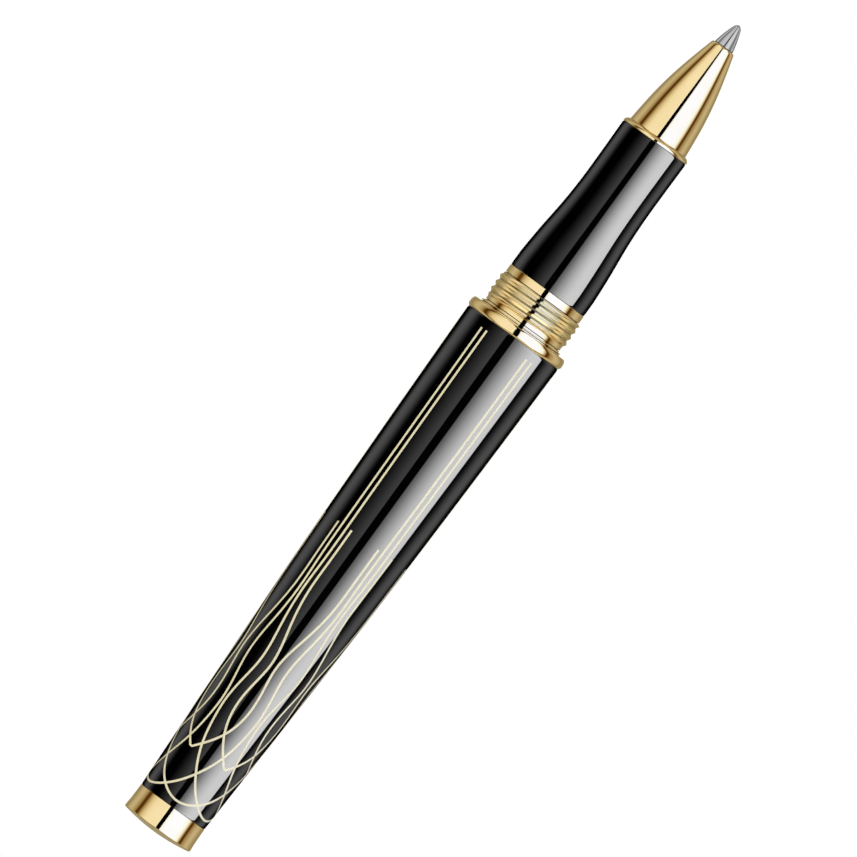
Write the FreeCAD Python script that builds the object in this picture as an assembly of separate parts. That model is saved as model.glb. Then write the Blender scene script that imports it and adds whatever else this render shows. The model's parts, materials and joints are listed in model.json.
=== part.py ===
import FreeCAD, Part
import math
import os

# An uncapped rollerball pen, in millimetres. It lies along X with its writing tip at +X, and
# its widest ring touches Z = 0. Stations are distances back along the pen from the tip. The
# pieces are made about the X axis and raised onto Z = 0 at the end.

V = FreeCAD.Vector

# Outside
LENGTH = 125.0
FLANGE_RADIUS = 7.13
NOSE_FRONT, NOSE_REAR = 3.37, 17.36
GRIP_FRONT, GRIP_REAR = 18.05, 41.05
GRIP_REAR_RADIUS = 5.635
COLLAR_RADIUS = 5.665
COLLAR_REAR = 42.2
SHOULDER_FRONT, SHOULDER_REAR = 46.53, 47.08
SHOULDER_RADIUS = 6.03
FLANGE_FRONT = 46.88
BARREL_FRONT, BARREL_REAR = 48.3, 121.1
BARREL_FRONT_RADIUS, BARREL_REAR_RADIUS = 6.93, 4.88

# Inside
REFILL_BORE = 3.2
SPIGOT_RADIUS = 3.95
SPIGOT_REAR = 25.0
CORE_RADIUS = 4.40
CORE_REAR = 56.6
BARREL_BORE = 5.98
BARREL_BORE_REAR = 60.5
TAIL_BORE = 4.08
TAIL_FRONT = 117.8
STUD_RADIUS = 2.4
STUD_REAR = 123.5
GAP = 0.02

# Cap thread: right-hand, one start. FOOT and TOP are the widths of its ridge, and SUNK is how
# far a ridge's foot goes into its wall.
CAP_PITCH = 0.95
CAP_ROOT, CAP_CREST = 5.685, 6.0
CAP_FOOT, CAP_TOP = 0.78, 0.2
CAP_THREAD_REAR = 45.925
CAP_THREAD_TURNS = 3.4
SUNK = 0.05

# Thread between the grip section and the barrel: right-hand, one start
SCREW_PITCH = 1.0
SCREW_FOOT, SCREW_TOP = 0.58, 0.2
MALE_CREST = 4.85
MALE_THREAD_REAR = CORE_REAR - 0.7
MALE_THREAD_TURNS = 7.8
FEMALE_ROOT, FEMALE_CREST = 5.0, 4.6
FEMALE_FRONT, FEMALE_REAR = 50.6, 58.2
FEMALE_THREAD_TURNS = 6.3

# Refill
BALL_RADIUS = 0.35
BALL_CLEARANCE = 0.012
TIP_BASE, TIP_BASE_RADIUS = 3.3, 1.34
SOCKET_SHANK_RADIUS, SOCKET_REAR = 0.9, 7.5
WICK_RADIUS = 0.55
TUBE_FRONT, TUBE_REAR = 16.0, 108.0
TUBE_RADIUS, TUBE_BORE = 3.05, 2.65
REFILL_REAR = 111.0

# Refill spring, whose round wire is drawn with flat sides
SPRING_RADIUS, WIRE_RADIUS = 2.1, 0.22
SPRING_TURNS = 5.5
WIRE_SIDES = 12
SEAT_THICKNESS = 0.6


def at(point):
    """A (station, radius) pair as a point above the axis."""
    station, radius = point
    return V(LENGTH / 2 - station, 0, radius)


def straight(*points):
    """Straight edges through the points."""
    return [Part.makeLine(at(a), at(b)) for a, b in zip(points, points[1:])]


def arc(start, middle, end):
    """One circular edge through three points."""
    return [Part.Arc(at(start), at(middle), at(end)).toShape()]


def smooth(*points):
    """One smooth edge through the points."""
    curve = Part.BSplineCurve()
    curve.interpolate([at(p) for p in points])
    return [curve.toShape()]


def dome(edge, apex_station):
    """Part of a circle centred on the axis, from its edge to its apex on the axis."""
    edge_station, radius = edge
    height = apex_station - edge_station
    sphere_radius = (radius**2 + height**2) / (2 * height)
    centre = apex_station - sphere_radius
    half = math.asin(radius / sphere_radius) / 2
    middle = (centre + sphere_radius * math.cos(half), sphere_radius * math.sin(half))
    return arc(edge, middle, (apex_station, 0))


def turned(*spans):
    """The solid that a closed outline makes when it is turned about the pen's axis."""
    edges = [edge for span in spans for edge in span]
    outline = Part.Face(Part.Wire(edges))
    return outline.revolve(V(0, 0, 0), V(1, 0, 0), 360)


def ring(front, rear, inner, outer):
    """A plain turned ring, or a disc when inner is 0."""
    corners = [(front, inner), (front, outer), (rear, outer), (rear, inner), (front, inner)]
    return turned(straight(*corners))


def along_pen(shape, station):
    """Lays a shape that was made up Z along the pen, with its base at a station."""
    shape.rotate(V(0, 0, 0), V(0, 1, 0), 90)
    shape.translate(V(LENGTH / 2 - station, 0, 0))
    return shape


def wound(corners, pitch, turns, radius, station):
    """A right-hand coil of a section of (radius, height) corners, wound forwards from a station."""
    points = [V(r, 0, z) for r, z in corners]
    section = Part.makePolygon(points + points[:1])
    helix = Part.Wire(Part.makeHelix(pitch, pitch * turns, radius).Edges)
    return along_pen(helix.makePipeShell([section], True, True), station)


def ridge(root, crest, foot, top, pitch, turns, station):
    """A thread ridge from root radius to crest radius, foot wide at its root and top at its crest."""
    corners = [(root, -foot / 2), (crest, -top / 2), (crest, top / 2), (root, foot / 2)]
    return wound(corners, pitch, turns, root, station)


# The refill

def writing_ball():
    ball = Part.makeSphere(BALL_RADIUS)
    ball.translate(V(LENGTH / 2 - BALL_RADIUS, 0, 0))
    return ball


def tip_socket():
    """Cone that holds the ball behind a turned-in lip, with an ink channel to its rear."""
    lip = 0.2
    cone = turned(
        straight((lip, 0), (lip, 0.40), (0.42, 0.54)),
        smooth((0.42, 0.54), (1.2, 0.81), (2.2, 1.10), (TIP_BASE, TIP_BASE_RADIUS)),
        straight(
            (TIP_BASE, TIP_BASE_RADIUS),
            (TIP_BASE, SOCKET_SHANK_RADIUS),
            (SOCKET_REAR, SOCKET_SHANK_RADIUS),
            (SOCKET_REAR, 0),
            (lip, 0),
        ),
    )
    seat = Part.makeSphere(BALL_RADIUS + BALL_CLEARANCE)
    seat.translate(V(LENGTH / 2 - BALL_RADIUS, 0, 0))
    channel = ring(BALL_RADIUS, SOCKET_REAR, 0, 0.2)
    return cone.cut(seat).cut(channel)


def tip_holder():
    """Nose tube of the refill, which widens to a shoulder and plugs the front of the tube."""
    plug_rear = TUBE_FRONT + 1.5
    neck_rear, shoulder, shoulder_radius = 10.4, 13.2, 2.5
    wick_bore = WICK_RADIUS + GAP
    return turned(
        straight(
            (TIP_BASE, SOCKET_SHANK_RADIUS),
            (TIP_BASE, TIP_BASE_RADIUS),
            (neck_rear, TIP_BASE_RADIUS),
            (shoulder, shoulder_radius),
            (TUBE_FRONT - 0.6, shoulder_radius),
            (TUBE_FRONT - 0.1, TUBE_RADIUS),
            (TUBE_FRONT, TUBE_RADIUS),
            (TUBE_FRONT, TUBE_BORE),
            (plug_rear, TUBE_BORE),
            (plug_rear, wick_bore),
            (SOCKET_REAR, wick_bore),
            (SOCKET_REAR, SOCKET_SHANK_RADIUS),
            (TIP_BASE, SOCKET_SHANK_RADIUS),
        )
    )


def ink_wick():
    return ring(SOCKET_REAR + GAP, TUBE_FRONT + 5, 0, WICK_RADIUS)


def ink_reservoir():
    """Fibre store with a blind hole for the wick."""
    front, rear = TUBE_FRONT + 1.6, TUBE_REAR - 3.1
    store = ring(front, rear, 0, TUBE_BORE - 0.05)
    return store.cut(ring(front, TUBE_FRONT + 5.1, 0, WICK_RADIUS + GAP))


def refill_tube():
    return ring(TUBE_FRONT, TUBE_REAR, TUBE_BORE, TUBE_RADIUS)


def refill_end_plug():
    """Stepped plug with a vent hole."""
    vent = 0.3
    return turned(
        straight(
            (TUBE_REAR - 3, vent),
            (TUBE_REAR - 3, TUBE_BORE),
            (TUBE_REAR, TUBE_BORE),
            (TUBE_REAR, TUBE_RADIUS),
            (REFILL_REAR - 0.4, TUBE_RADIUS),
            (REFILL_REAR, TUBE_RADIUS - 0.4),
            (REFILL_REAR, vent),
            (TUBE_REAR - 3, vent),
        )
    )


# The grip section

def nose_cone():
    """Hollow convex cone with an inside stop for the refill, and a spigot for the grip."""
    tip_hole, lip_radius = 1.45, 1.52
    throat_front, stop, throat = 13.0, 15.55, 2.7
    return turned(
        straight((NOSE_FRONT, tip_hole), (NOSE_FRONT, lip_radius), (3.6, 1.68)),
        smooth((3.6, 1.68), (7.7, 2.78), (12.2, 3.68), (NOSE_REAR, 4.24)),
        straight(
            (NOSE_REAR, 4.24),
            (NOSE_REAR, SPIGOT_RADIUS),
            (SPIGOT_REAR, SPIGOT_RADIUS),
            (SPIGOT_REAR, REFILL_BORE),
            (stop + 0.4, REFILL_BORE),
            (stop, throat),
            (throat_front, throat),
            (10.2, tip_hole),
            (NOSE_FRONT, tip_hole),
        ),
    )


def front_trim_ring():
    """Ring with a rounded front, between the cone and the grip."""
    top = 4.86
    return turned(
        straight((NOSE_REAR, SPIGOT_RADIUS), (NOSE_REAR, 4.26)),
        arc((NOSE_REAR, 4.26), (17.62, 4.66), (18.0, top)),
        straight(
            (18.0, top),
            (GRIP_FRONT, top),
            (GRIP_FRONT, SPIGOT_RADIUS),
            (NOSE_REAR, SPIGOT_RADIUS),
        ),
    )


def grip_section():
    """Waisted sleeve that swells to the collar."""
    front_radius, swell_end, swell_radius = 4.82, 38.9, 5.63
    return turned(
        straight((GRIP_FRONT, SPIGOT_RADIUS), (GRIP_FRONT, front_radius)),
        smooth(
            (GRIP_FRONT, front_radius),
            (22.5, 4.775),
            (27.0, 4.785),
            (31.0, 4.985),
            (35.0, 5.365),
            (swell_end, swell_radius),
        ),
        straight(
            (swell_end, swell_radius),
            (GRIP_REAR, GRIP_REAR_RADIUS),
            (GRIP_REAR, SPIGOT_RADIUS),
            (GRIP_FRONT, SPIGOT_RADIUS),
        ),
    )


def section_core():
    """Inner tube: slim inside the grip, stepped inside the collar, threaded at the rear."""
    chamfer = 0.3
    tube = turned(
        straight(
            (SPIGOT_REAR, REFILL_BORE),
            (SPIGOT_REAR, SPIGOT_RADIUS),
            (GRIP_REAR, SPIGOT_RADIUS),
            (GRIP_REAR, CORE_RADIUS),
            (CORE_REAR - chamfer, CORE_RADIUS),
            (CORE_REAR, CORE_RADIUS - chamfer),
            (CORE_REAR, REFILL_BORE),
            (SPIGOT_REAR, REFILL_BORE),
        )
    )
    thread = ridge(
        CORE_RADIUS - SUNK,
        MALE_CREST,
        SCREW_FOOT,
        SCREW_TOP,
        SCREW_PITCH,
        MALE_THREAD_TURNS,
        MALE_THREAD_REAR,
    )
    return tube.fuse(thread)


def cap_thread_bush():
    """Gold collar, cap thread and rear shoulder in one piece. It widens a hair under the thread."""
    body = turned(
        straight(
            (GRIP_REAR, CORE_RADIUS),
            (GRIP_REAR, COLLAR_RADIUS),
            (COLLAR_REAR, COLLAR_RADIUS),
            (SHOULDER_FRONT, CAP_ROOT),
            (SHOULDER_FRONT, SHOULDER_RADIUS),
            (SHOULDER_REAR, SHOULDER_RADIUS),
            (SHOULDER_REAR, CORE_RADIUS),
            (GRIP_REAR, CORE_RADIUS),
        )
    )
    thread = ridge(
        CAP_ROOT - SUNK,
        CAP_CREST,
        CAP_FOOT,
        CAP_TOP,
        CAP_PITCH,
        CAP_THREAD_TURNS,
        CAP_THREAD_REAR,
    )
    return body.fuse(thread)


# The barrel

def barrel_trim_ring():
    """Wide round-edged ring, recessed for the collar's shoulder, with a spigot for the tube."""
    recess_radius, lip_radius = 6.1, 6.75
    recess_floor = SHOULDER_REAR + GAP
    bore, spigot_rear = FEMALE_ROOT + 0.1, FEMALE_FRONT - 0.1
    return turned(
        straight((FLANGE_FRONT, recess_radius), (FLANGE_FRONT, lip_radius)),
        smooth(
            (FLANGE_FRONT, lip_radius),
            (47.0, 6.90),
            (47.3, 7.08),
            (47.7, FLANGE_RADIUS),
            (48.07, 7.07),
            (BARREL_FRONT, BARREL_FRONT_RADIUS),
        ),
        straight(
            (BARREL_FRONT, BARREL_FRONT_RADIUS),
            (BARREL_FRONT, BARREL_BORE),
            (spigot_rear, BARREL_BORE),
            (spigot_rear, bore),
            (recess_floor, bore),
            (recess_floor, recess_radius),
            (FLANGE_FRONT, recess_radius),
        ),
    )


def bore_radius(station):
    """Radius of the barrel's tapered bore, between its two plain ends."""
    front, rear = (BARREL_BORE_REAR, 5.80), (TAIL_FRONT, TAIL_BORE)
    part = (station - front[0]) / (rear[0] - front[0])
    return front[1] + part * (rear[1] - front[1])


def barrel_tube():
    """Long tapered tube, slightly bowed, with a stepped bore."""
    return turned(
        straight((BARREL_FRONT, BARREL_BORE), (BARREL_FRONT, BARREL_FRONT_RADIUS)),
        smooth(
            (BARREL_FRONT, BARREL_FRONT_RADIUS),
            (60.0, 6.755),
            (75.0, 6.455),
            (90.0, 6.055),
            (105.0, 5.51),
            (BARREL_REAR, BARREL_REAR_RADIUS),
        ),
        straight(
            (BARREL_REAR, BARREL_REAR_RADIUS),
            (BARREL_REAR, TAIL_BORE),
            (TAIL_FRONT, TAIL_BORE),
            (BARREL_BORE_REAR, bore_radius(BARREL_BORE_REAR)),
            (BARREL_BORE_REAR, BARREL_BORE),
            (BARREL_FRONT, BARREL_BORE),
        ),
    )


def barrel_thread_bush():
    """Bush with the inside thread, half a turn out of step with the ridge it turns on."""
    bush = ring(FEMALE_FRONT, FEMALE_REAR, FEMALE_ROOT, BARREL_BORE)
    thread = ridge(
        FEMALE_ROOT + SUNK,
        FEMALE_CREST,
        SCREW_FOOT,
        SCREW_TOP,
        SCREW_PITCH,
        FEMALE_THREAD_TURNS,
        MALE_THREAD_REAR + 1.5 * SCREW_PITCH,
    )
    return bush.fuse(thread)


def refill_guide():
    """Tapered plastic sleeve that centres the rear of the refill in the bore."""
    front, rear = 101.0, 113.5
    return turned(
        straight(
            (front, REFILL_BORE),
            (front, bore_radius(front)),
            (rear, bore_radius(rear)),
            (rear, REFILL_BORE),
            (front, REFILL_BORE),
        )
    )


def tail_plug():
    """Plug in the rear of the tube, with the stud that the end cap screws onto."""
    return turned(
        straight(
            (TAIL_FRONT, 0),
            (TAIL_FRONT, TAIL_BORE),
            (BARREL_REAR, TAIL_BORE),
            (BARREL_REAR, STUD_RADIUS),
            (STUD_REAR, STUD_RADIUS),
            (STUD_REAR, 0),
            (TAIL_FRONT, 0),
        )
    )


def butt_cap():
    """End cap that flares a little to a rounded edge and ends in a shallow dome."""
    flare, flare_radius = 124.15, 5.03
    dome_edge = (124.55, 4.5)
    hole_end = STUD_REAR + 0.1
    return turned(
        straight((BARREL_REAR, STUD_RADIUS), (BARREL_REAR, 4.90), (122.6, 4.925)),
        smooth((122.6, 4.925), (123.4, 4.96), (flare, flare_radius)),
        arc((flare, flare_radius), (124.44, 4.86), dome_edge),
        dome(dome_edge, LENGTH),
        straight((LENGTH, 0), (hole_end, 0), (hole_end, STUD_RADIUS), (BARREL_REAR, STUD_RADIUS)),
    )


# Between the refill and the barrel

def refill_spring():
    start = TAIL_FRONT - SEAT_THICKNESS - WIRE_RADIUS - GAP
    end = REFILL_REAR + WIRE_RADIUS + GAP
    pitch = (start - end) / SPRING_TURNS
    steps = [2 * math.pi * side / WIRE_SIDES for side in range(WIRE_SIDES)]
    corners = [
        (SPRING_RADIUS + WIRE_RADIUS * math.cos(a), WIRE_RADIUS * math.sin(a)) for a in steps
    ]
    return wound(corners, pitch, SPRING_TURNS, SPRING_RADIUS, start)


def spring_seat():
    return ring(TAIL_FRONT - SEAT_THICKNESS, TAIL_FRONT, 0.9, 3.6)


PIECES = [
    writing_ball,
    tip_socket,
    tip_holder,
    ink_wick,
    ink_reservoir,
    refill_tube,
    refill_end_plug,
    nose_cone,
    front_trim_ring,
    grip_section,
    section_core,
    cap_thread_bush,
    barrel_trim_ring,
    barrel_tube,
    barrel_thread_bush,
    refill_guide,
    tail_plug,
    butt_cap,
    refill_spring,
    spring_seat,
]

os.makedirs("parts", exist_ok=True)
for make in PIECES:
    piece = make()
    piece.translate(V(0, 0, FLANGE_RADIUS))
    print(make.__name__, piece.ShapeType, piece.isValid(), len(piece.Solids), round(piece.Volume, 3))
    piece.exportStep("parts/" + make.__name__ + ".step")
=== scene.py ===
import json
import math

import bpy
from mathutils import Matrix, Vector


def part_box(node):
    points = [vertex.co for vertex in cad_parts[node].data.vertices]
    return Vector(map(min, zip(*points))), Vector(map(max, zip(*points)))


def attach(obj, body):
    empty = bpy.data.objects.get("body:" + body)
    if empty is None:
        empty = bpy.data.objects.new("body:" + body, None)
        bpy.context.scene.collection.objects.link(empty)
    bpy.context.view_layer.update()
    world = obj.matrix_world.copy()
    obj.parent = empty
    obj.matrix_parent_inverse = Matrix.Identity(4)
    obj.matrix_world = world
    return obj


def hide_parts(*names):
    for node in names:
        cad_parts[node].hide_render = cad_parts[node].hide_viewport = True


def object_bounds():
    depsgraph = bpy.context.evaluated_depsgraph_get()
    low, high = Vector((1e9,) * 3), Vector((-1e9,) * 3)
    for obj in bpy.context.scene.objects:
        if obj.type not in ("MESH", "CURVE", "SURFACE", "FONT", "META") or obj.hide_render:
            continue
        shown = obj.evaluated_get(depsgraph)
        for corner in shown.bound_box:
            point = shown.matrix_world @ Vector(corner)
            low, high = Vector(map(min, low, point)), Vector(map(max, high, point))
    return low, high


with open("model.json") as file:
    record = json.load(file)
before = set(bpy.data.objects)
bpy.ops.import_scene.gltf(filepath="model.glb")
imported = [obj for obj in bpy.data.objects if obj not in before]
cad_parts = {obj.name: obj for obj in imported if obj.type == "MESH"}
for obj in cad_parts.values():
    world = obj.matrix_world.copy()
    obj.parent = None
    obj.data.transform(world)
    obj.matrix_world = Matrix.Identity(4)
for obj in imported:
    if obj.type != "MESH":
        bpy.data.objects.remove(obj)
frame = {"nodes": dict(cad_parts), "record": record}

# The uncapped rollerball pen, lying along X with its tip at +X. A place on it is a station,
# the distance back from the tip in millimetres, with a radius and an angle about the axis.
# The angle is 0 at the top of the pen and grows towards -Y, turning as a right-hand screw
# does that moves towards the tip.

CAD_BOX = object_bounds()
MM = 0.001
TIP_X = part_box("writing_ball")[1].x
AXIS_Z = sum(corner.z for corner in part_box("barrel_trim_ring")) / 2
STEPS = 192
SHARP = math.radians(28)


# Places read from the frame

def station(x):
    return (TIP_X - x) / MM


def front(node):
    return station(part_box(node)[1].x)


def rear(node):
    return station(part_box(node)[0].x)


def radius(node):
    low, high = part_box(node)
    return (high.z - low.z) / 2 / MM


def on_pen(along, out, angle):
    """The point at a station, a radius and an angle, in the frame's metres."""
    return Vector(
        (TIP_X - along * MM, -out * MM * math.sin(angle), AXIS_Z + out * MM * math.cos(angle))
    )


# Outlines: lists of (station, radius), in millimetres

def spline(points):
    """A natural cubic through the points, as a function from their first value to their
    second."""
    xs, ys = zip(*points)
    count = len(xs)
    gaps = [b - a for a, b in zip(xs, xs[1:])]
    diagonal, right = [1.0] * count, [0.0] * count
    upper = [0.0] * count
    for i in range(1, count - 1):
        slope = (ys[i + 1] - ys[i]) / gaps[i] - (ys[i] - ys[i - 1]) / gaps[i - 1]
        diagonal[i] = 2 * (gaps[i - 1] + gaps[i]) - gaps[i - 1] * upper[i - 1]
        upper[i] = gaps[i] / diagonal[i]
        right[i] = (6 * slope - gaps[i - 1] * right[i - 1]) / diagonal[i]
    bend = [0.0] * count
    for i in range(count - 2, 0, -1):
        bend[i] = right[i] - upper[i] * bend[i + 1]

    def value(x):
        i = max(0, min(count - 2, sum(1 for known in xs[1:-1] if x >= known)))
        a, b, gap = xs[i + 1] - x, x - xs[i], gaps[i]
        cubic = (bend[i] * a**3 + bend[i + 1] * b**3) / (6 * gap)
        before = (ys[i] / gap - bend[i] * gap / 6) * a
        after = (ys[i + 1] / gap - bend[i + 1] * gap / 6) * b
        return cubic + (before + after)

    return value


def along(curve, start, end, count):
    """The outline of a curve between two stations."""
    steps = [start + (end - start) * i / count for i in range(count + 1)]
    return [(x, curve(x)) for x in steps]


def rounded(start, corner, end, count):
    """A small round between two points, pulled towards the corner."""
    points = []
    for i in range(count + 1):
        t = i / count
        a, b, c = (1 - t) ** 2, 2 * t * (1 - t), t**2
        points.append(tuple(a * p + b * q + c * r for p, q, r in zip(start, corner, end)))
    return points


# The softened edge of a lacquered piece, as (distance from its end face, drop).
SOFT_EDGE = ((0, 0.10), (0.11, 0.03), (0.3, 0))


def eased(end, top, way):
    """The softened edge at an end of a lacquered piece; way is 1 if the piece lies behind the
    end and -1 if it lies ahead of it."""
    return [(end + way * back, top - drop) for back, drop in SOFT_EDGE]


def domed(edge, apex, count):
    """Part of a circle centred on the axis, from its edge to its apex on the axis."""
    height = abs(apex - edge[0])
    size = (edge[1] ** 2 + height**2) / (2 * height)
    way = math.copysign(1, apex - edge[0])
    whole = math.asin(edge[1] / size)
    angles = [whole * (1 - i / count) for i in range(count + 1)]
    return [(apex - way * size * (1 - math.cos(a)), size * math.sin(a)) for a in angles]


# Meshes

def make_piece(name, points, faces, body, material, replaces=()):
    mesh = bpy.data.meshes.new(name)
    mesh.from_pydata(points, [], faces)
    mesh.polygons.foreach_set("use_smooth", [True] * len(mesh.polygons))
    mesh.set_sharp_from_angle(angle=SHARP)
    mesh.materials.append(material)
    piece = bpy.data.objects.new(name, mesh)
    bpy.context.scene.collection.objects.link(piece)
    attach(piece, body)
    if replaces:
        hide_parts(*replaces)
    return piece


def turned_mesh(outline, relief=None):
    """Points and faces of an outline turned about the axis. A closed outline leaves a hole along
    the axis; one that starts and ends on the axis is closed there. relief(station, radius, angle)
    changes a point's radius."""
    hollow = outline[0][1] > 0
    angles = [2 * math.pi * k / STEPS for k in range(STEPS)]
    points, rings = [], []
    for x, r in outline:
        if r <= 0:
            rings.append([len(points)] * STEPS)
            points.append(on_pen(x, 0, 0))
            continue
        rings.append(range(len(points), len(points) + STEPS))
        points += [on_pen(x, relief(x, r, a) if relief else r, a) for a in angles]
    pairs = list(zip(rings, rings[1:]))
    if hollow:
        pairs.append((rings[-1], rings[0]))
    faces = []
    for a, b in pairs:
        for k in range(STEPS):
            after = (k + 1) % STEPS
            corners = [a[k], a[after], b[after], b[k]]
            faces.append(list(dict.fromkeys(corners)))
    return points, faces


def turned(name, outline, body, material, replaces=(), relief=None):
    """A turned piece. Its outline runs along the outside from the tip end to the rear, and back
    along the inside."""
    points, faces = turned_mesh(outline, relief)
    return make_piece(name, points, faces, body, material, replaces)


# Materials

def new_material(name):
    material = bpy.data.materials.new(name)
    material.use_nodes = True
    return material, material.node_tree, material.node_tree.nodes["Principled BSDF"]


def place(tree, stretch=(1, 1, 1)):
    """The point on the object, in millimetres, stretched along the axes."""
    coords = tree.nodes.new("ShaderNodeTexCoord")
    mapping = tree.nodes.new("ShaderNodeMapping")
    mapping.inputs["Scale"].default_value = [s / MM for s in stretch]
    tree.links.new(coords.outputs["Object"], mapping.inputs["Vector"])
    return mapping.outputs["Vector"]


def noise(tree, vector, scale, detail=3.0):
    node = tree.nodes.new("ShaderNodeTexNoise")
    node.inputs["Scale"].default_value = scale
    node.inputs["Detail"].default_value = detail
    tree.links.new(vector, node.inputs["Vector"])
    return node.outputs["Fac"]


def ranged(tree, value, low, high, start=0.35, end=0.65):
    """Spreads a noise value over a range."""
    node = tree.nodes.new("ShaderNodeMapRange")
    node.inputs["From Min"].default_value = start
    node.inputs["From Max"].default_value = end
    node.inputs["To Min"].default_value = low
    node.inputs["To Max"].default_value = high
    tree.links.new(value, node.inputs["Value"])
    return node.outputs["Result"]


def maths(tree, operation, *values):
    """A maths node's result, from plain numbers and other nodes' values."""
    node = tree.nodes.new("ShaderNodeMath")
    node.operation = operation
    for socket_in, value in zip(node.inputs, values):
        if isinstance(value, float):
            socket_in.default_value = value
        else:
            tree.links.new(value, socket_in)
    return node.outputs[0]


def blended(tree, value, first, second):
    """A colour between two, by a value from 0 to 1."""
    node = tree.nodes.new("ShaderNodeMix")
    node.data_type = "RGBA"
    node.inputs["A"].default_value = (*first, 1)
    node.inputs["B"].default_value = (*second, 1)
    tree.links.new(value, node.inputs["Factor"])
    return node.outputs["Result"]


def bumped(tree, shader, value, height):
    """Bump of a height in millimetres."""
    node = tree.nodes.new("ShaderNodeBump")
    node.inputs["Strength"].default_value = 1.0
    node.inputs["Distance"].default_value = height * MM
    tree.links.new(value, node.inputs["Height"])
    tree.links.new(node.outputs["Normal"], shader.inputs["Normal"])


def metal(name, first, second, smooth, rough, lines, height):
    """Metal of two close tints, with smudges in its gloss and fine lines round the pen. lines is
    how dense the lines are, and height their depth in millimetres."""
    material, tree, shader = new_material(name)
    shader.inputs["Metallic"].default_value = 1.0
    tint = ranged(tree, noise(tree, place(tree), 0.35), 0, 1)
    tree.links.new(blended(tree, tint, first, second), shader.inputs["Base Color"])
    smudge = ranged(tree, noise(tree, place(tree), 0.9, 6.0), smooth, rough)
    tree.links.new(smudge, shader.inputs["Roughness"])
    turning = noise(tree, place(tree, (lines, 0.4, 0.4)), 1.0, 4.0)
    bumped(tree, shader, turning, height)
    return material


def lacquer():
    """Deep black lacquer: a mirror with the faintest waviness, hairlines and dust."""
    material, tree, shader = new_material("black_lacquer")
    tint = ranged(tree, noise(tree, place(tree), 0.5), 0, 1)
    black = blended(tree, tint, (0.0001, 0.0001, 0.0002), (0.0003, 0.0003, 0.0003))
    tree.links.new(black, shader.inputs["Base Color"])
    shader.inputs["IOR"].default_value = 1.5
    hairlines = noise(tree, place(tree, (0.15, 6, 6)), 1.0, 5.0)
    gloss = ranged(tree, hairlines, 0.012, 0.030)
    tree.links.new(gloss, shader.inputs["Roughness"])
    bumped(tree, shader, noise(tree, place(tree), 0.6, 2.0), 0.0006)
    return material


def inlay_gold():
    """Gold filling of the cut lines: satin, paler than the polished parts."""
    material, tree, shader = new_material("inlay_gold")
    shader.inputs["Metallic"].default_value = 0.3
    tint = ranged(tree, noise(tree, place(tree), 3.0), 0, 1)
    pale = blended(tree, tint, (0.80, 0.70, 0.43), (0.86, 0.77, 0.50))
    tree.links.new(pale, shader.inputs["Base Color"])
    grain = noise(tree, place(tree), 14.0, 4.0)
    tree.links.new(ranged(tree, grain, 0.38, 0.55), shader.inputs["Roughness"])
    bumped(tree, shader, grain, 0.003)
    return material


def plastic(name, first, second, rough):
    """Moulded plastic with a satin grain."""
    material, tree, shader = new_material(name)
    tint = ranged(tree, noise(tree, place(tree), 0.8), 0, 1)
    tree.links.new(blended(tree, tint, first, second), shader.inputs["Base Color"])
    grain = noise(tree, place(tree), 9.0, 5.0)
    tree.links.new(ranged(tree, grain, rough - 0.06, rough + 0.06), shader.inputs["Roughness"])
    bumped(tree, shader, grain, 0.004)
    return material


def fibre():
    """Ink-soaked fibre drawn out along the pen."""
    material, tree, shader = new_material("ink_fibre")
    strands = noise(tree, place(tree, (0.3, 12, 12)), 1.0, 6.0)
    tree.links.new(
        blended(tree, ranged(tree, strands, 0, 1), (0.01, 0.01, 0.03), (0.05, 0.05, 0.1)),
        shader.inputs["Base Color"],
    )
    shader.inputs["Roughness"].default_value = 0.85
    bumped(tree, shader, strands, 0.03)
    return material


# Painted shade lies in the roots of the cap thread, between two stations: a darker colour where
# shade falls between the ridges.
# It is full up to one radius and gone at the other.
ROOT_SHADE_FRONT, ROOT_SHADE_REAR = 42.25, 45.6
ROOT_SHADE_FULL, ROOT_SHADE_GONE = 5.73, 5.79
# This colour and roughness are painted shade for the thread roots.
PAINTED_ROOT_SHADE = (0.28, 0.20, 0.065, 1)
ROOT_SHADE_ROUGHNESS = 0.35


def painted_shade_amount(tree):
    """How much painted shade a point has, from 0 to 1."""
    coords = tree.nodes.new("ShaderNodeTexCoord")
    parts = tree.nodes.new("ShaderNodeSeparateXYZ")
    tree.links.new(coords.outputs["Object"], parts.inputs["Vector"])
    x, y, z = parts.outputs
    height = maths(tree, "SUBTRACT", z, AXIS_Z)
    squares = [maths(tree, "POWER", side, 2.0) for side in (height, y)]
    out = maths(tree, "SQRT", maths(tree, "ADD", *squares))
    amount = ranged(tree, out, 1, 0, ROOT_SHADE_FULL * MM, ROOT_SHADE_GONE * MM)
    patchy = ranged(tree, noise(tree, place(tree), 2.5), 0.7, 1)
    behind = maths(tree, "LESS_THAN", x, TIP_X - ROOT_SHADE_FRONT * MM)
    ahead = maths(tree, "GREATER_THAN", x, TIP_X - ROOT_SHADE_REAR * MM)
    for share in (patchy, behind, ahead):
        amount = maths(tree, "MULTIPLY", amount, share)
    return amount


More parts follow.
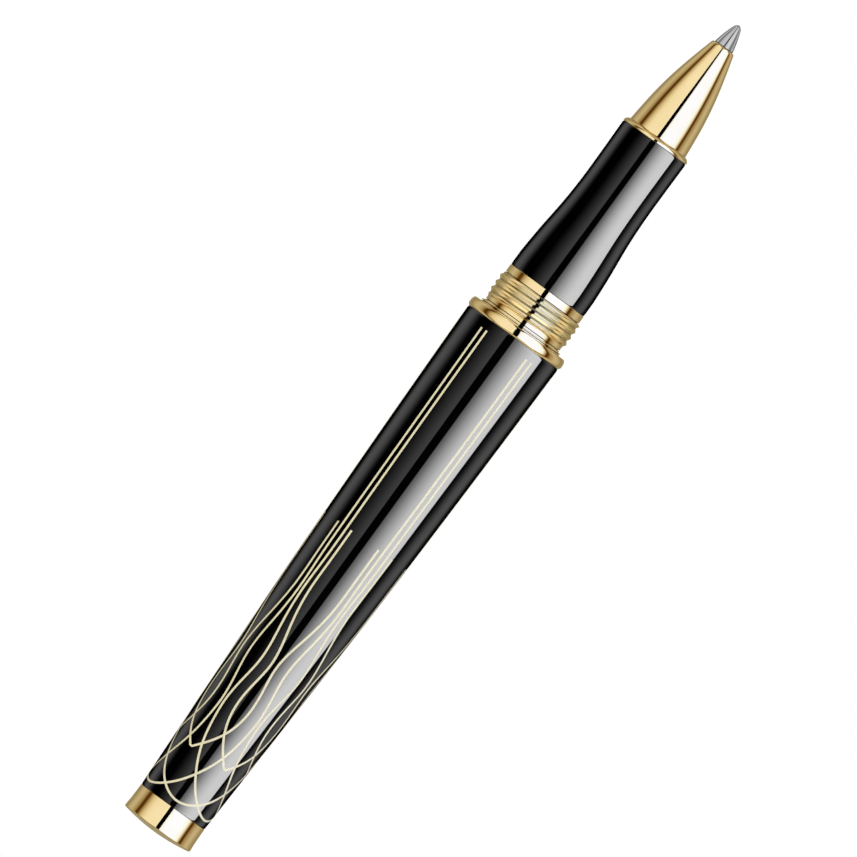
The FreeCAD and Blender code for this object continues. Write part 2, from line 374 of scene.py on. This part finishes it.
def with_painted_root_shade(material):
    """Darkens the roots of the cap thread with painted shade, a darker and rougher colour where
    shade falls between the ridges.
    """
    tree = material.node_tree
    shader = tree.nodes["Principled BSDF"]
    amount = painted_shade_amount(tree)
    # The colour mixed in here is painted shade.
    for name, shaded in (("Base Color", PAINTED_ROOT_SHADE), ("Roughness", ROOT_SHADE_ROUGHNESS)):
        unshaded = shader.inputs[name].links[0].from_socket
        mix = tree.nodes.new("ShaderNodeMix")
        mix.data_type = "RGBA" if name == "Base Color" else "FLOAT"
        ends = [end for end in mix.inputs if end.enabled and end.name in "AB"]
        tree.links.new(unshaded, ends[0])
        ends[1].default_value = shaded
        tree.links.new(amount, mix.inputs["Factor"])
        result = [out for out in mix.outputs if out.enabled][0]
        tree.links.new(result, shader.inputs[name])
    return material


PLATING = ((0.680, 0.500, 0.215), (0.660, 0.485, 0.200), 0.030, 0.055, 3, 0.00004)
GOLD = metal("gold_plate", *PLATING)
# The threaded gold carries painted shade in the roots of its thread.
THREADED_GOLD = with_painted_root_shade(metal("threaded_gold", *PLATING))
BRASS = metal("bare_brass", (0.70, 0.53, 0.24), (0.62, 0.46, 0.20), 0.16, 0.26, 14, 0.0008)
STEEL = metal("tip_steel", (0.62, 0.62, 0.63), (0.56, 0.56, 0.57), 0.12, 0.18, 25, 0.0002)
CARBIDE = metal("carbide", (0.36, 0.36, 0.38), (0.30, 0.30, 0.32), 0.08, 0.14, 4, 0.0001)
WIRE = metal("spring_steel", (0.60, 0.60, 0.60), (0.48, 0.48, 0.49), 0.22, 0.32, 6, 0.001)
TUBE = metal("refill_metal", (0.56, 0.56, 0.57), (0.48, 0.48, 0.50), 0.24, 0.34, 10, 0.001)
LACQUER = lacquer()
INLAY = inlay_gold()
REFILL_PLASTIC = plastic("refill_plastic", (0.10, 0.10, 0.11), (0.14, 0.14, 0.15), 0.42)
GUIDE_PLASTIC = plastic("guide_plastic", (0.04, 0.04, 0.04), (0.06, 0.06, 0.06), 0.5)

INNER_MATERIALS = {
    "bare_brass": BRASS,
    "spring_steel": WIRE,
    "refill_metal": TUBE,
    "refill_plastic": REFILL_PLASTIC,
    "ink_fibre": fibre(),
    "guide_plastic": GUIDE_PLASTIC,
}


def dress_inner_nodes():
    """Gives every CAD node that stays as it is the material of its slot."""
    for entry in frame["record"]["subparts"]:
        material = INNER_MATERIALS.get(entry["material_slot"])
        if material:
            slots = frame["nodes"][entry["node"]].data.materials
            slots.clear()
            slots.append(material)


# The refill's tip

def ball():
    size = radius("writing_ball")
    count = 40
    turns = [math.pi * i / count for i in range(count + 1)]
    outline = [(size - size * math.cos(t), size * math.sin(t)) for t in turns]
    outline[0], outline[-1] = (0, 0), (2 * size, 0)
    return turned("writing_ball_fine", outline, "ball", CARBIDE, ["writing_ball"])


def socket():
    """Steel cone with a turned-in lip round the ball."""
    base, shank, channel, play = 3.3, 0.9, 0.2, 0.012
    lip, wide, size = front("tip_socket"), radius("tip_socket"), radius("writing_ball")
    hollow = size + play
    first, last, count = math.asin(channel / hollow), math.acos((lip - size) / hollow), 16
    turns = [first + (last - first) * i / count for i in range(count + 1)]
    seat = [(size + hollow * math.cos(t), hollow * math.sin(t)) for t in turns]
    cone = spline([(0.42, 0.54), (1.2, 0.81), (2.2, 1.10), (base, wide)])
    outline = (
        seat[-1:]
        + rounded((lip, 0.37), (lip, 0.42), (lip + 0.10, 0.46), 5)
        + along(cone, 0.46, base - 0.03, 40)
        + [(base, wide - 0.02), (base, shank), (rear("tip_socket"), shank)]
        + [(rear("tip_socket"), channel)]
        + seat[:-1]
    )
    return turned("tip_socket_fine", outline, "refill", STEEL, ["tip_socket"])


# The grip section

# The front ring and the grip sit at this radius, on the cone's spigot and the inner tube.
SLEEVE_RADIUS = 3.95


def cone():
    """Gold nose cone with a small round at its lip and a bore for the refill."""
    start, end = front("nose_cone"), front("front_trim_ring")
    bore, lip, lip_end, seam = 1.45, 1.52, 3.6, 4.24
    spigot, spigot_end = SLEEVE_RADIUS, end + 3
    side = spline([(lip_end, 1.68), (7.7, 2.78), (12.2, 3.68), (end, seam)])
    # The bore grows towards the rear, as the refill does.
    inside = [(spigot_end, 3.2), (15.95, 3.2), (15.55, 2.7), (13.0, 2.7), (10.2, bore)]
    outline = (
        rounded((start + 0.05, bore), (start, bore), (start, bore + 0.05), 4)
        + rounded((start, lip - 0.02), (start, lip + 0.05), (lip_end, side(lip_end)), 8)
        + along(side, 3.7, end - 0.02, 70)
        + [(end, seam - 0.02), (end, spigot), (spigot_end, spigot)]
        + inside
    )
    return turned("nose_cone_fine", outline, "section", GOLD, ["nose_cone"])


def front_ring():
    """Round-fronted ring between the cone and the grip."""
    start, end, top = front("front_trim_ring"), rear("front_trim_ring"), radius("front_trim_ring")
    outline = (
        [(start, SLEEVE_RADIUS), (start, 4.26)]
        + rounded((start + 0.01, 4.28), (start + 0.18, 4.78), (start + 0.58, top - 0.01), 14)
        + rounded((start + 0.60, top), (end, top), (end, top - 0.05), 5)
        + [(end, SLEEVE_RADIUS)]
    )
    return turned("front_ring_fine", outline, "section", GOLD, ["front_trim_ring"])


def grip():
    """Waisted lacquered sleeve that swells to the collar."""
    start, end, wide = front("grip_section"), rear("grip_section"), radius("grip_section")
    level = 38.9
    waist = spline(
        [(start, 4.82), (22.5, 4.775), (27.0, 4.785), (31.0, 4.985), (35.0, 5.365), (level, wide)]
    )
    outline = (
        [(start, SLEEVE_RADIUS)]
        + eased(start, waist(start + 0.3), 1)
        + along(waist, start + 0.4, level, 90)
        + along(lambda x: wide, level + 0.3, end - 0.4, 8)
        + eased(end, wide, -1)[::-1]
        + [(end, SLEEVE_RADIUS)]
    )
    return turned("grip_fine", outline, "section", LACQUER, ["grip_section"])


# Threads

# A ridge's corners are rounded by averaging over this way to each side, in so many steps.
THREAD_ROUNDING, ROUNDING_STEPS = 0.06, 3
SLIT_WIDTH, SLIT_DEPTH = 0.10, 0.25


def fade(value, start, end):
    """Rises smoothly from 0 to 1 as the value goes from start to end."""
    t = max(0.0, min(1.0, (value - start) / (end - start)))
    return t * t * (3 - 2 * t)


def ridge_height(x, angle, pitch, crest_station, foot, top):
    """Height of a right-hand thread's ridge, from 0 past its foot to 1 on its crest. The ridge is
    foot wide at the bottom and top wide at the crest, which passes the crest station at the top
    of the pen."""
    heights = []
    for i in range(-ROUNDING_STEPS, ROUNDING_STEPS + 1):
        near = x + i * THREAD_ROUNDING / ROUNDING_STEPS
        turn = (near - crest_station) / pitch + angle / (2 * math.pi)
        off = abs(turn - round(turn)) * pitch
        heights.append(max(0.0, min(1.0, (foot - 2 * off) / (foot - top))))
    return sum(heights) / len(heights)


def thread_on(span, fades, radii, ridge):
    """The relief of a thread between the two stations of its span. fades are the lengths over
    which it rises at the front and fades at the rear, and radii are those of its root and its
    crest. ridge holds what ridge_height takes from the pitch on."""
    first, last = span
    root, crest = radii

    def relief(x, r, angle):
        if r < root - 1e-6 or not first < x < last:
            return r
        shown = fade(x, first, first + fades[0]) * fade(-x, -last, fades[1] - last)
        return r + (crest - root) * shown * ridge_height(x, angle, *ridge)

    return relief


def slit(start, top):
    """A narrow, deep groove turned into a surface."""
    return [(start, top), (start + SLIT_WIDTH / 2, top - SLIT_DEPTH), (start + SLIT_WIDTH, top)]


def collar():
    """Gold collar with the cap thread, the neck behind it and the shoulder at its rear."""
    start, end = front("cap_thread_bush"), rear("cap_thread_bush")
    plain, root, crest, bore = 5.665, 5.69, 6.02, 4.40
    shoulder, shoulder_front = radius("cap_thread_bush"), 46.53
    edge_foot, edge_end = 5.94, 46.62
    thread_front, thread_rear, pitch, crest_station = 42.19, 45.9, 0.95, 43.55
    thread_slit, shoulder_slit, ring_slit = 42.08, 46.27, 46.67
    thread = thread_on(
        (thread_front, thread_rear), (0.2, 0.6), (root, crest), (pitch, crest_station, pitch, 0)
    )
    outline = (
        [(start, bore)]
        + rounded((start, plain - 0.04), (start, plain), (start + 0.04, plain), 4)
        + along(lambda x: plain, start + 0.1, thread_slit - 0.1, 4)
        + slit(thread_slit, plain)
        + along(lambda x: root, thread_front, thread_rear, 200)
        + slit(shoulder_slit, root)
        + [(shoulder_front, root)]
        + rounded((shoulder_front, edge_foot), (shoulder_front, shoulder), (edge_end, shoulder), 5)
        + slit(ring_slit, shoulder)
        + [(end, shoulder), (end, bore)]
    )
    name, replaced = "threaded_collar_fine", ["cap_thread_bush"]
    return turned(name, outline, "section", THREADED_GOLD, replaced, thread)


def core():
    """Brass inner tube, with the thread that the barrel turns on."""
    start, end = front("section_core"), rear("section_core")
    bore, wide, crest = 3.2, 4.40, radius("section_core")
    step, thread_front, thread_rear = front("cap_thread_bush"), 48.3, 56.1
    pitch, crest_station, foot, top = 1.0, 55.4, 0.58, 0.2
    thread = thread_on(
        (thread_front, thread_rear), (0.4, 0.4), (wide, crest), (pitch, crest_station, foot, top)
    )
    outline = (
        [(start, bore), (start, SLEEVE_RADIUS), (step, SLEEVE_RADIUS), (step, wide)]
        + along(lambda x: wide, step + 0.5, thread_front, 12)
        + along(lambda x: wide, thread_front + 0.02, thread_rear, 200)
        + [(end - 0.3, wide), (end, wide - 0.3), (end, bore)]
    )
    name, replaced = "section_core_fine", ["section_core"]
    return turned(name, outline, "section", BRASS, replaced, thread)


# The barrel

def barrel_ring():
    """Wide ring with a rounded edge, recessed for the collar's shoulder."""
    start, top = front("barrel_trim_ring"), radius("barrel_trim_ring")
    end, spigot_end = front("barrel_tube"), rear("barrel_trim_ring")
    recess, recess_floor, bore, spigot = 6.1, rear("cap_thread_bush") + 0.02, 5.1, 5.98
    edge_start = (46.98, 6.95)
    edge = spline([edge_start, (47.28, 7.085), (47.7, top), (48.07, 7.07), (end - 0.06, 6.93)])
    outline = (
        rounded((start + 0.04, recess), (start, recess), (start, recess + 0.04), 3)
        + rounded((start, 6.64), (start, 6.88), edge_start, 10)
        + along(edge, 47.0, end - 0.06, 36)
        + [(end, 6.84), (end, spigot), (spigot_end, spigot), (spigot_end, bore)]
        + [(recess_floor, bore), (recess_floor, recess)]
    )
    return turned("barrel_ring_fine", outline, "barrel", GOLD, ["barrel_trim_ring"])


BARREL_FRONT, BARREL_REAR = front("barrel_tube"), rear("barrel_tube")
BARREL_END_RADIUS = 4.88
BARREL_SIDE = spline(
    [
        (BARREL_FRONT, radius("barrel_tube")),
        (60.0, 6.755),
        (75.0, 6.455),
        (90.0, 6.055),
        (105.0, 5.51),
        (BARREL_REAR, BARREL_END_RADIUS),
    ]
)


def barrel():
    """Long tapered lacquered tube."""
    bore, bore_end, tail_bore, tail = 5.98, 60.5, 4.08, front("tail_plug")
    start, end = BARREL_FRONT, BARREL_REAR
    outline = (
        [(start, bore)]
        + eased(start, BARREL_SIDE(start + 0.3), 1)
        + along(BARREL_SIDE, start + 0.5, end - 0.4, 180)
        + eased(end, BARREL_SIDE(end - 0.3), -1)[::-1]
        + [(end, tail_bore), (tail, tail_bore), (bore_end, 5.80), (bore_end, bore)]
    )
    return turned("barrel_fine", outline, "barrel", LACQUER, ["barrel_tube"])


def end_cap():
    """Gold end cap: a slight flare, a rounded edge and a shallow dome. It has a blind hole at
    the front for its plug."""
    start, end = front("butt_cap"), rear("butt_cap")
    stud, hole_end = 2.4, rear("tail_plug") + 0.1
    lip, flare, flare_length, flare_end = 4.90, 0.025, 1.5, 122.6
    side_end, dome_edge = 124.28, (124.57, 4.5)
    side = spline([(flare_end, 4.925), (123.4, 4.96), (side_end, radius("butt_cap") - 0.002)])
    outline = (
        [(hole_end, 0), (hole_end, stud), (start, stud)]
        + rounded((start, 4.86), (start, lip), (start + 0.04, lip), 4)
        + along(lambda x: lip + (x - start) / flare_length * flare, start + 0.1, flare_end, 12)
        + along(side, 122.7, side_end, 16)
        + rounded((124.3, 5.03), (124.52, 5.03), dome_edge, 14)
        + domed(dome_edge, end, 24)[1:]
    )
    return turned("end_cap_fine", outline, "barrel", GOLD, ["butt_cap"])


# Gold lines on the barrel

# A line's width, its height above the lacquer, its depth below it, and the spacing of the points
# along it, in millimetres.
LINE_WIDTH = 0.29
LINE_RISE = 0.018
LINE_DEPTH = 0.05
LINE_SPACING = 0.12
# Points left out to each side of a pointed join, which makes it blunt.
BLUNTING = 2
# The pattern repeats so many times round the barrel, and its first centre is at this angle.
GROUPS = 6
FIRST_GROUP = 29

# One line of each kind, as (station, degrees from its group's centre). Each is mirrored about
# the meridian that its last point lies on, where it joins a line of another group.
INNER_LINE = [
    (49.6, 3.6), (64.0, 3.6), (79.0, 3.9), (85.0, 3.5), (89.6, 2.6), (94.0, 5.8),
    (99.6, 10.8), (103.0, 6.2), (106.0, 2.7), (109.0, 4.6), (112.4, 12.0), (116.0, 30.0),
    (119.1, 60.0), (120.1, 90.0),
]
OUTER_LINE = [
    (79.8, 10.8), (85.0, 10.6), (89.5, 11.0), (94.0, 17.5), (99.6, 26.0), (102.6, 22.5),
    (105.6, 20.0), (107.8, 22.5), (109.9, 30.0), (112.4, 48.0), (113.6, 60.0),
]


def flat_distance(a, b):
    """The distance between two (station, degrees) points along the barrel's surface."""
    middle = (a[0] + b[0]) / 2
    across = math.radians(b[1] - a[1]) * BARREL_SIDE(middle)
    return math.hypot(b[0] - a[0], across)


def smooth_path(points):
    """A smooth path through (station, degrees) points, evenly spaced."""
    lengths = [0.0]
    for a, b in zip(points, points[1:]):
        lengths.append(lengths[-1] + flat_distance(a, b))
    stations = spline(list(zip(lengths, [p[0] for p in points])))
    degrees = spline(list(zip(lengths, [p[1] for p in points])))
    count = round(lengths[-1] / LINE_SPACING)
    steps = [lengths[-1] * i / count for i in range(count + 1)]
    return [(stations(t), degrees(t)) for t in steps]


def joined(line, centre, pointed):
    """The path from a line to its mirror image, with a blunt point where they meet or one smooth
    bend."""
    join = line[-1][1]
    half = [(x, centre + a) for x, a in line]
    mirror = [(x, centre + 2 * join - a) for x, a in reversed(line)]
    if pointed:
        return smooth_path(half)[:-BLUNTING] + smooth_path(mirror)[BLUNTING:]
    return smooth_path(half + mirror[1:])


def ribbon(path):
    """Points and faces of a low crowned strip that follows a path on the barrel."""
    half = LINE_WIDTH / 2
    flat, shoulder = half * 0.75, LINE_RISE * 0.5
    section = [
        (-half, -LINE_DEPTH), (-half, shoulder), (-flat, LINE_RISE), (flat, LINE_RISE),
        (half, shoulder), (half, -LINE_DEPTH),
    ]
    centres = [on_pen(x, BARREL_SIDE(x), math.radians(a)) for x, a in path]
    points = []
    for i, (x, a) in enumerate(path):
        before, after = centres[max(i - 1, 0)], centres[min(i + 1, len(path) - 1)]
        way = (after - before).normalized()
        slope = (BARREL_SIDE(x - 0.05) - BARREL_SIDE(x + 0.05)) / 0.1
        out = on_pen(x - slope, 1, math.radians(a)) - on_pen(x, 0, 0)
        out.normalize()
        side = way.cross(out).normalized()
        points += [centres[i] + (side * w + out * h) * MM for w, h in section]
    count = len(section)
    faces = []
    for i in range(len(path) - 1):
        for k in range(count):
            n = (k + 1) % count
            a, b = i * count, (i + 1) * count
            faces.append([a + k, a + n, b + n, b + k])
    faces.append(list(range(count - 1, -1, -1)))
    faces.append([(len(path) - 1) * count + k for k in range(count)])
    return points, faces


def inlay():
    """Six mirrored pairs of each line, spaced evenly round the barrel."""
    made = []
    for group in range(GROUPS):
        centre = FIRST_GROUP + 360 / GROUPS * group
        for kind, line, pointed in (("inner", INNER_LINE, False), ("outer", OUTER_LINE, True)):
            points, faces = ribbon(joined(line, centre, pointed))
            name = f"inlay_{kind}_{group + 1}"
            made.append(make_piece(name, points, faces, "barrel", INLAY))
    return made


# Light, floor and camera

# Metres from the pen's axis to the lamps.
LAMP_DISTANCE = 1.0
# Degrees that a softbox reaches to each side, seen from the pen.
LAMP_REACH = 60


def lit_only(lamp, pieces):
    """Makes a lamp light only these pieces, and keeps it out of the picture."""
    lamp.visible_camera = False
    receivers = bpy.data.collections.new(lamp.name + "_lights")
    for piece in pieces:
        receivers.objects.link(piece)
    lamp.light_linking.receiver_collection = receivers


def area_lamp(name, width, height, places, lit, share=1.0):
    """A lamp with radiances across its height, from (place, colour) pairs. It gives a share of
    them to the pieces in lit."""
    light = bpy.data.lights.new(name, "AREA")
    light.shape = "RECTANGLE"
    light.size = width
    light.size_y = height
    light.energy = share * math.pi * light.size * light.size_y
    emit(light, places)
    lamp = bpy.data.objects.new(name, light)
    bpy.context.scene.collection.objects.link(lamp)
    lit_only(lamp, lit)
    return lamp


def softbox(name, bands, lit, reach=LAMP_REACH):
    """A long softbox beside the pen that lights only the pieces in lit. bands are its radiances
    across its width, as (angle about the pen's axis, (red, green, blue)), from edge to edge. Seen
    from the pen it reaches so many degrees to each side."""
    start, end = bands[0][0], bands[-1][0]
    middle, spread = math.radians(start + end) / 2, math.radians(end - start) / 2
    places = []
    for angle, colour in bands:
        across = math.tan(math.radians(angle) - middle) / math.tan(spread)
        places.append(((1 - across) / 2, colour))
    length = 2 * LAMP_DISTANCE * math.tan(math.radians(reach))
    lamp = area_lamp(name, length, 2 * LAMP_DISTANCE * math.tan(spread), places, lit)
    height = AXIS_Z + LAMP_DISTANCE * math.cos(middle)
    lamp.location = (0, -LAMP_DISTANCE * math.sin(middle), height)
    lamp.rotation_euler = (middle, 0, 0)


def end_lamps(name, bands, lit, top, bottom, rear_share=1.0):
    """Upright lamps past both ends of the pen. bands are their radiances from side to side, as
    (distance to the picture's right, (red, green, blue)); all distances are from the pen's axis,
    for lamps one unit away. The rear lamp gives only its share of the bands. Only the pieces in
    lit shade each other from these lamps, so that the wide ring doesn't hide them."""
    half = bands[-1][0]
    places = [((1 - off / half) / 2, colour) for off, colour in bands]
    width, height = (top - bottom) * LAMP_DISTANCE, 2 * half * LAMP_DISTANCE
    for side, share in ((-1, rear_share), (1, 1.0)):
        lamp = area_lamp(f"{name}_{side}", width, height, places, lit, share)
        lamp.location = (side * LAMP_DISTANCE, 0, AXIS_Z + (top + bottom) / 2 * LAMP_DISTANCE)
        lamp.rotation_euler = (0, side * math.pi / 2, 0)
        lamp.light_linking.blocker_collection = lamp.light_linking.receiver_collection


def emit(light, places):
    """Gives an area lamp radiances across its height, from (place, colour) pairs."""
    light.use_nodes = True
    tree = light.node_tree
    coords = tree.nodes.new("ShaderNodeTexCoord")
    parts = tree.nodes.new("ShaderNodeSeparateXYZ")
    tree.links.new(coords.outputs["UV"], parts.inputs["Vector"])
    colour, most = colour_ramp(tree, parts.outputs["Y"], sorted(places))
    emission = tree.nodes["Emission"]
    emission.inputs["Strength"].default_value = most
    tree.links.new(colour, emission.inputs["Color"])


def grey(*bands):
    """Bands of plain grey, from (angle, radiance) pairs."""
    return [(angle, (value, value, value)) for angle, value in bands]


def colour_ramp(tree, value, places):
    """A ramp through (place, colour) stops. Returns its colour, scaled to at most 1, and the
    scale."""
    most = max(max(colour) for _, colour in places)
    ramp = tree.nodes.new("ShaderNodeValToRGB")
    stops = ramp.color_ramp.elements
    while len(stops) < len(places):
        stops.new(0.5)
    for stop, (at, colour) in zip(stops, places):
        stop.position = at
        stop.color = (*(part / most for part in colour), 1)
    tree.links.new(value, ramp.inputs["Fac"])
    return ramp.outputs["Color"], most


# Low screens on both sides of the pen, and black everywhere else about its axis.
LOW_SCREEN = grey(
    (85, 0.0), (92, 0.13), (99, 0.45), (106, 0.76), (114, 0.84), (123, 0.72), (134, 0.28),
    (141, 0.05), (147, 0.0),
)
# The screens reach as far to each side as the softboxes do. This is half the width of the soft
# edge where they end, in the sine of that angle.
SCREEN_EDGE = 0.015
# Past their ends there are grey panels, as wide and as high as the gap that is left there.
PANEL_HALF = 0.577
END_PANELS = grey((-PANEL_HALF, 0.72), (PANEL_HALF, 0.72))

# What the black lacquer mirrors: a bright softbox that grows towards its far edge, and a dim
# screen on the other side that fades away.
LACQUER_KEY = grey(
    (5, 2.2), (9, 2.9), (14, 4.2), (18, 5.4), (23, 7.0), (28, 8.3), (37, 10.9), (42, 12.0),
    (50, 13.4), (57, 14.2), (66, 14.0), (74, 13.3), (80, 12.4), (82, 11.0),
)
LACQUER_FILL = grey(
    (-60, 0.0), (-52, 0.09), (-47, 0.17), (-42, 0.28), (-37, 0.41), (-32, 0.56), (-28, 0.69),
    (-23, 0.90), (-18, 1.02), (-13.2, 1.08),
)

# What the gold mirrors: pale on one side, white on the other, and a brown dusk below both.
PALE = (1.38, 1.50, 1.90)
WHITE = (1.48, 1.98, 4.6)
DUSK = (0.13, 0.055, 0.004)
HAZE = (0.34, 0.25, 0.13)
GOLD_FILL = [
    (-104, (0, 0, 0)), (-93, HAZE), (-86, DUSK), (-80.5, DUSK), (-77, (0.24, 0.17, 0.08)),
    (-70, (0.70, 0.62, 0.50)), (-62, (1.04, 1.04, 1.10)), (-50, (1.32, 1.41, 1.74)),
    (-36, PALE), (-12, PALE), (-6, (1.40, 1.62, 2.20)),
]
GOLD_KEY = [
    (6, (1.40, 1.75, 3.2)), (14, WHITE), (54, WHITE), (62, (1.46, 1.94, 4.0)),
    (68.5, (1.42, 1.84, 3.2)), (73.5, (1.08, 1.18, 1.60)), (77, (0.60, 0.53, 0.45)),
    (80.5, DUSK), (86, DUSK), (93, HAZE), (104, (0, 0, 0)),
]
BELOW = (0.43, 0.395, 0.27)
SLANT = (0.30, 0.275, 0.17)
GOLD_UNDER = [
    (123, (0, 0, 0)), (134, SLANT), (146, BELOW), (180, BELOW), (214, BELOW), (226, SLANT),
    (237, (0, 0, 0)),
]

# The softboxes on the threaded collar are shorter, and it has lamps of its own past both ends of
# the pen. The flanks of its thread mirror those lamps, and the dark gap between the two kinds.
COLLAR_REACH = 37
COLLAR_END_TOP, COLLAR_END_BOTTOM, COLLAR_REAR_SHARE = 0.65, -1.5, 0.88
COLLAR_ENDS = [
    (-1.3, (0.20, 0.20, 0.18)), (-0.90, (0.40, 0.40, 0.38)), (-0.62, (1.00, 1.08, 1.30)),
    (-0.29, (1.28, 1.42, 1.85)), (-0.09, (1.30, 1.46, 1.95)), (-0.06, (0, 0, 0)),
    (0.06, (0, 0, 0)), (0.09, (1.29, 1.65, 2.7)), (0.22, (1.28, 1.65, 2.7)),
    (0.56, (1.15, 1.40, 2.20)), (0.90, (0.40, 0.40, 0.34)), (1.3, (0.20, 0.20, 0.16)),
]

# What the steel tip mirrors.
TIP_FILL = grey(
    (-104, 0.0), (-92, 0.18), (-80, 0.26), (-68, 0.55), (-52, 0.84), (-37, 0.90), (-8, 0.84)
)
TIP_KEY = grey(
    (8, 0.8), (25, 1.05), (37, 1.2), (50, 1.05), (60, 0.70), (70, 0.38), (80, 0.26), (92, 0.18),
    (104, 0.0),
)

# What lights the gold lines.
LINE_FILL = [(-88, (1.01, 1.03, 0.98)), (-8, (1.01, 1.03, 0.98))]
LINE_KEY = [(8, (1.29, 1.39, 1.75)), (88, (1.29, 1.39, 1.75))]


def low_screens(tree):
    """The screens' colour, scaled to at most 1, and the scale."""
    coords = tree.nodes.new("ShaderNodeTexCoord")
    parts = tree.nodes.new("ShaderNodeSeparateXYZ")
    tree.links.new(coords.outputs["Generated"], parts.inputs["Vector"])
    along_pen, sideways, upwards = parts.outputs
    around = maths(tree, "ARCTAN2", maths(tree, "ABSOLUTE", sideways), upwards)
    half_turns = maths(tree, "DIVIDE", around, math.pi)
    places = [(angle / 180, colour) for angle, colour in LOW_SCREEN]
    screens, most = colour_ramp(tree, half_turns, places)
    past = tree.nodes.new("ShaderNodeMapRange")
    past.interpolation_type = "SMOOTHSTEP"
    end = math.sin(math.radians(LAMP_REACH))
    past.inputs["From Min"].default_value = end - SCREEN_EDGE
    past.inputs["From Max"].default_value = end + SCREEN_EDGE
    tree.links.new(maths(tree, "ABSOLUTE", along_pen), past.inputs["Value"])
    mix = tree.nodes.new("ShaderNodeMix")
    mix.data_type = "RGBA"
    mix.inputs["B"].default_value = (0, 0, 0, 1)
    tree.links.new(screens, mix.inputs["A"])
    tree.links.new(past.outputs["Result"], mix.inputs["Factor"])
    return mix.outputs["Result"], most


def room():
    """The room's light as a world shader. The camera itself sees only white."""
    world = bpy.data.worlds.new("studio")
    world.use_nodes = True
    bpy.context.scene.world = world
    tree = world.node_tree
    lit = tree.nodes["Background"]
    screens, most = low_screens(tree)
    lit.inputs["Strength"].default_value = most
    tree.links.new(screens, lit.inputs["Color"])
    seen = tree.nodes.new("ShaderNodeBackground")
    seen.inputs["Color"].default_value = (1, 1, 1, 1)
    path = tree.nodes.new("ShaderNodeLightPath")
    choice = tree.nodes.new("ShaderNodeMixShader")
    tree.links.new(path.outputs["Is Camera Ray"], choice.inputs["Fac"])
    tree.links.new(lit.outputs["Background"], choice.inputs[1])
    tree.links.new(seen.outputs["Background"], choice.inputs[2])
    tree.links.new(choice.outputs["Shader"], tree.nodes["World Output"].inputs["Surface"])


def floor():
    """A white table that the pen rests on, tilted so that it runs just below the wide ring and
    the end cap. The pen doesn't mirror it, and it glows, so that no shadow shows on it."""
    ring_x = (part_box("barrel_trim_ring")[0].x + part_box("barrel_trim_ring")[1].x) / 2
    cap_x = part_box("butt_cap")[0].x
    drop = AXIS_Z - radius("butt_cap") * MM
    tilt = math.atan2(drop, ring_x - cap_x)
    size, gap = 3.0, 0.0001
    corners = [(-size, -size, 0), (size, -size, 0), (size, size, 0), (-size, size, 0)]
    mesh = bpy.data.meshes.new("floor")
    mesh.from_pydata(corners, [], [(0, 1, 2, 3)])
    material, tree, shader = new_material("floor_paper")
    tint = ranged(tree, noise(tree, place(tree), 0.02), 0, 1)
    pale = blended(tree, tint, (0.86, 0.86, 0.86), (0.88, 0.88, 0.88))
    tree.links.new(pale, shader.inputs["Base Color"])
    shader.inputs["Roughness"].default_value = 1.0
    shader.inputs["Specular IOR Level"].default_value = 0.0
    shader.inputs["Emission Color"].default_value = (1, 1, 1, 1)
    shader.inputs["Emission Strength"].default_value = 1.0
    mesh.materials.append(material)
    plane = bpy.data.objects.new("floor", mesh)
    bpy.context.scene.collection.objects.link(plane)
    plane.rotation_euler = (0, tilt, 0)
    plane.location = (ring_x, 0, -gap)
    plane.visible_glossy = False
    plane.visible_diffuse = False
    plane.visible_shadow = False


LENS, SENSOR = 1500, 36
VIEW_WIDTH = 0.10755
VIEW_TURN = math.radians(-54.055)
# From the middle of the pen to the middle of the picture, to its right and up.
VIEW_RIGHT, VIEW_UP = -0.002308, 0.000048


def camera():
    """Straight above the pen, turned so that the tip points up and to the right."""
    data = bpy.data.cameras.new("camera")
    data.lens, data.sensor_width = LENS, SENSOR
    distance = VIEW_WIDTH * LENS / SENSOR
    low, high = CAD_BOX
    middle = (low + high) / 2
    right = Vector((math.cos(VIEW_TURN), math.sin(VIEW_TURN), 0))
    up = Vector((-math.sin(VIEW_TURN), math.cos(VIEW_TURN), 0))
    target = middle + right * VIEW_RIGHT + up * VIEW_UP
    eye = bpy.data.objects.new("camera", data)
    bpy.context.scene.collection.objects.link(eye)
    eye.location = (target.x, target.y, AXIS_Z + distance)
    eye.rotation_euler = (0, 0, VIEW_TURN)
    data.clip_start, data.clip_end = 0.1, 20
    bpy.context.scene.camera = eye


dress_inner_nodes()
tip_pieces = [ball(), socket()]
gold_pieces = [cone(), front_ring(), core(), barrel_ring(), end_cap()]
collar_pieces = [collar()]
lacquer_pieces = [grip(), barrel()]
line_pieces = inlay()

room()
floor()
softbox("lacquer_key", LACQUER_KEY, lacquer_pieces)
softbox("lacquer_fill", LACQUER_FILL, lacquer_pieces)
softbox("gold_key", GOLD_KEY, gold_pieces)
softbox("gold_fill", GOLD_FILL, gold_pieces)
softbox("gold_under", GOLD_UNDER, gold_pieces)
softbox("collar_key", GOLD_KEY, collar_pieces, COLLAR_REACH)
softbox("collar_fill", GOLD_FILL, collar_pieces, COLLAR_REACH)
softbox("collar_under", GOLD_UNDER, collar_pieces, COLLAR_REACH)
end_lamps(
    "collar_end", COLLAR_ENDS, collar_pieces, COLLAR_END_TOP, COLLAR_END_BOTTOM, COLLAR_REAR_SHARE
)
other_pieces = gold_pieces + lacquer_pieces + tip_pieces + line_pieces
end_lamps("end_panel", END_PANELS, other_pieces, PANEL_HALF, -PANEL_HALF)
softbox("tip_key", TIP_KEY, tip_pieces)
softbox("tip_fill", TIP_FILL, tip_pieces)
softbox("line_key", LINE_KEY, line_pieces)
softbox("line_fill", LINE_FILL, line_pieces)
camera()
bpy.context.scene.view_settings.view_transform = "Standard"
